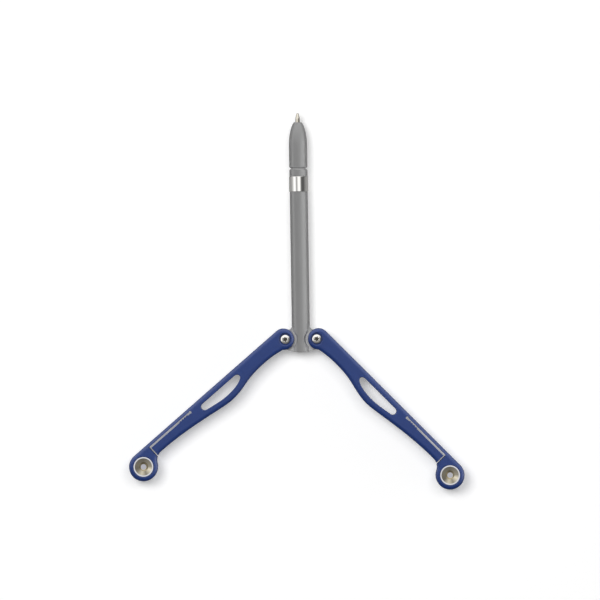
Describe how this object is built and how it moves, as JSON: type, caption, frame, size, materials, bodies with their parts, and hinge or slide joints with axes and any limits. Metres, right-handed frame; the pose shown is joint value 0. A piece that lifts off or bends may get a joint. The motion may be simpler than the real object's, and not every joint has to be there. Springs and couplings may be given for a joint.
{
  "type": "balisong pen",
  "caption": "Ballpoint pen with a screw-on nose and flipping handles hinged on its tang; each forked handle has a barrel channel, a window, a clip slit and a weighted eye.",
  "frame": {"origin": "middle of the plan box, on the surface that the back faces of the handles lie on", "axes": "+Y along the pen towards its writing point, +Z out of the front faces of the handles"},
  "size_m": [0.1744, 0.1974, 0.0112],
  "materials": {
    "blue_moulding": "fine satin moulded surface",
    "grey_moulding": "semi-gloss moulded surface",
    "chrome": "bright plated",
    "steel": "turned and polished",
    "brass": "drawn tube",
    "bronze": "stamped sheet",
    "carbide": "lapped",
    "plug_polymer": "moulded"
  },
  "bodies": {
    "pen": {"barrel": "grey_moulding", "ferrule": "chrome"},
    "left_arm": {"left_handle": "blue_moulding", "left_front_weight": "steel", "left_rear_weight": "steel", "left_pivot_screw": "steel", "left_pivot_nut": "steel", "left_front_washer": "bronze", "left_rear_washer": "bronze"},
    "right_arm": {"right_handle": "blue_moulding", "right_front_weight": "steel", "right_rear_weight": "steel", "right_pivot_screw": "steel", "right_pivot_nut": "steel", "right_front_washer": "bronze", "right_rear_washer": "bronze"},
    "refill": {"refill_tube": "brass", "refill_tail_plug": "plug_polymer", "refill_point": "steel"},
    "nose": {"nose_cone": "grey_moulding"},
    "ball": {"writing_ball": "carbide"}
  },
  "joints": [
    {"name": "left_handle_swing", "type": "hinge", "parent": "pen", "child": "left_arm", "pos_m": [-0.00496, -0.01924, 0.0056], "axis": [0, 0, 1], "range_deg": [-129.6, 49.2]},
    {"name": "right_handle_swing", "type": "hinge", "parent": "pen", "child": "right_arm", "pos_m": [0.01144, -0.01924, 0.0056], "axis": [0, 0, -1], "range_deg": [-135, 43.8]},
    {"name": "refill_travel", "type": "slide", "parent": "pen", "child": "refill", "axis": [0, 1, 0], "range_m": [0, 0.007]},
    {"name": "nose_unscrew", "type": "hinge", "parent": "refill", "child": "nose", "pos_m": [0.00324, 0.06556, 0.0056], "axis": [0, 1, 0], "range_deg": [0, 2521]},
    {"name": "ball_roll", "type": "hinge", "parent": "refill", "child": "ball", "pos_m": [0.00324, 0.09816, 0.0056], "axis": [1, 0, 0], "continuous": true}
  ],
  "couplings": [
    {"joint": "nose_unscrew", "follows": "refill_travel", "rad_per_m": 6283.2}
  ]
}
